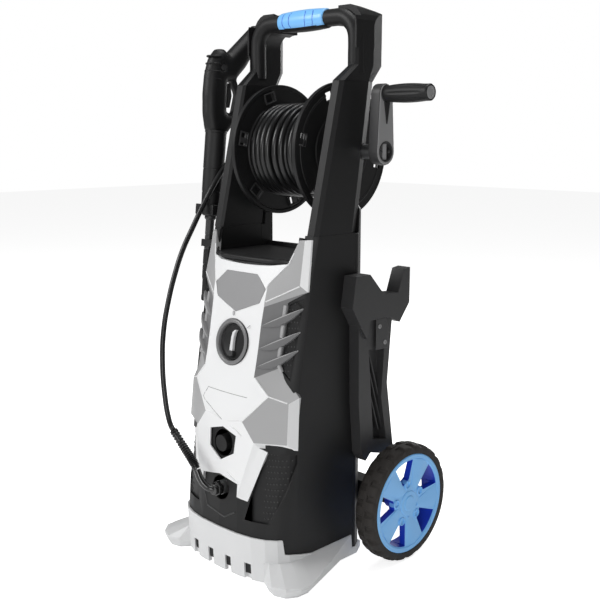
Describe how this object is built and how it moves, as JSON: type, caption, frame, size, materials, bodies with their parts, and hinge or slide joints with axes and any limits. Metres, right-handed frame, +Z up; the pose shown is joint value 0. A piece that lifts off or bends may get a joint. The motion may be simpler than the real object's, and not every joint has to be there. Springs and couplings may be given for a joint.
{
  "type": "pressure washer",
  "caption": "Upright electric pressure washer: hose reel with a crank between two columns, carry handle, rear wheels, and a spray gun with its lance clipped to the side.",
  "frame": {"origin": "on the ground, under the middle of the box round the object without its free hose", "axes": "+Z up, front towards -Y, hose reel axis and crank along +X"},
  "size_m": [0.429, 0.3601, 0.866],
  "materials": {
    "black_plastic": "fine moulded grain, satin black",
    "charcoal_plastic": "fine moulded grain, dark grey",
    "light_plastic": "satin light grey",
    "grey_plastic": "satin mid grey",
    "blue_plastic": "semi-gloss sky blue",
    "tyre_rubber": "dull brown-black with block tread",
    "hose_rubber": "smooth black",
    "steel": "turned",
    "aluminium": "cast",
    "brass": "turned"
  },
  "bodies": {
    "washer": {"main_housing": "black_plastic", "rear_cover": "black_plastic", "side_grille_right": "black_plastic", "side_grille_left": "black_plastic", "column_left": "black_plastic", "column_right": "black_plastic", "reel_tray": "black_plastic", "carry_handle": "black_plastic", "switch_box": "black_plastic", "inlet_connector": "black_plastic", "cord_gland": "black_plastic", "outlet_elbow": "black_plastic", "strain_relief": "black_plastic", "gun_cradle": "black_plastic", "lance_clip": "black_plastic", "axle_carrier": "black_plastic", "cord_hook_left": "charcoal_plastic", "cord_hook_right": "charcoal_plastic", "reel_swivel": "charcoal_plastic", "motor_mount": "charcoal_plastic", "capacitor": "charcoal_plastic", "base_chassis": "light_plastic", "front_cover": "light_plastic", "badge_plate": "grey_plastic", "dial_ring": "grey_plastic", "handle_grip": "blue_plastic", "supply_hose": "hose_rubber", "axle": "steel", "pump_piston_1": "steel", "pump_piston_2": "steel", "pump_piston_3": "steel", "motor_stator": "aluminium", "pump_block": "aluminium", "pump_head": "aluminium", "outlet_pipe": "aluminium", "unloader_valve": "brass"},
    "reel": {"reel_flange_right": "black_plastic", "reel_flange_left": "black_plastic", "reel_drum": "black_plastic", "wound_hose": "hose_rubber", "reel_shaft": "steel", "crank_arm": "charcoal_plastic", "crank_clip": "grey_plastic"},
    "crank_grip": {"crank_grip": "black_plastic"},
    "switch_knob": {"switch_knob": "black_plastic"},
    "wheel_left": {"wheel_rim_left": "blue_plastic", "tyre_left": "tyre_rubber"},
    "wheel_right": {"wheel_rim_right": "blue_plastic", "tyre_right": "tyre_rubber"},
    "motor_rotor": {"motor_rotor": "steel", "cooling_fan": "black_plastic", "swash_plate": "steel"},
    "spray_gun": {"gun_body": "black_plastic", "gun_barrel": "black_plastic", "gun_coupling": "brass", "lance_tube": "charcoal_plastic"},
    "trigger": {"trigger": "charcoal_plastic"},
    "trigger_lock": {"trigger_lock": "grey_plastic"},
    "nozzle": {"nozzle": "black_plastic"}
  },
  "joints": [
    {"name": "reel_spin", "type": "hinge", "parent": "washer", "child": "reel", "pos_m": [-0.0245, 0.04782, 0.6489], "axis": [1, 0, 0], "continuous": true},
    {"name": "crank_grip_spin", "type": "hinge", "parent": "reel", "child": "crank_grip", "pos_m": [0.1655, 0.04782, 0.7329], "axis": [1, 0, 0], "continuous": true},
    {"name": "switch_turn", "type": "hinge", "parent": "washer", "child": "switch_knob", "pos_m": [-0.0245, -0.12118, 0.362], "axis": [0, 0.983, -0.1838], "range_deg": [0, 60]},
    {"name": "wheel_left_spin", "type": "hinge", "parent": "washer", "child": "wheel_left", "pos_m": [-0.1965, 0.08392, 0.095], "axis": [1, 0, 0], "continuous": true},
    {"name": "wheel_right_spin", "type": "hinge", "parent": "washer", "child": "wheel_right", "pos_m": [0.1475, 0.08392, 0.095], "axis": [1, 0, 0], "continuous": true},
    {"name": "rotor_spin", "type": "hinge", "parent": "washer", "child": "motor_rotor", "pos_m": [-0.0245, -0.03448, 0.25], "axis": [0, 0, 1], "continuous": true},
    {"name": "gun_lift", "type": "slide", "parent": "washer", "child": "spray_gun", "axis": [0, 0.1097, 0.994], "range_m": [0, 0.12]},
    {"name": "trigger_pull", "type": "hinge", "parent": "spray_gun", "child": "trigger", "pos_m": [-0.1745, 0.0042, 0.75576], "axis": [1, 0, 0], "range_deg": [0, 12], "stiffness_Nm_per_rad": 0.5, "springref_deg": -5.73},
    {"name": "trigger_lock_slide", "type": "slide", "parent": "spray_gun", "child": "trigger_lock", "axis": [1, 0, 0], "range_m": [0, 0.004]},
    {"name": "nozzle_turn", "type": "hinge", "parent": "spray_gun", "child": "nozzle", "pos_m": [-0.1745, -0.04682, 0.43945], "axis": [0, 0.1097, 0.994], "range_deg": [0, 90]}
  ]
}
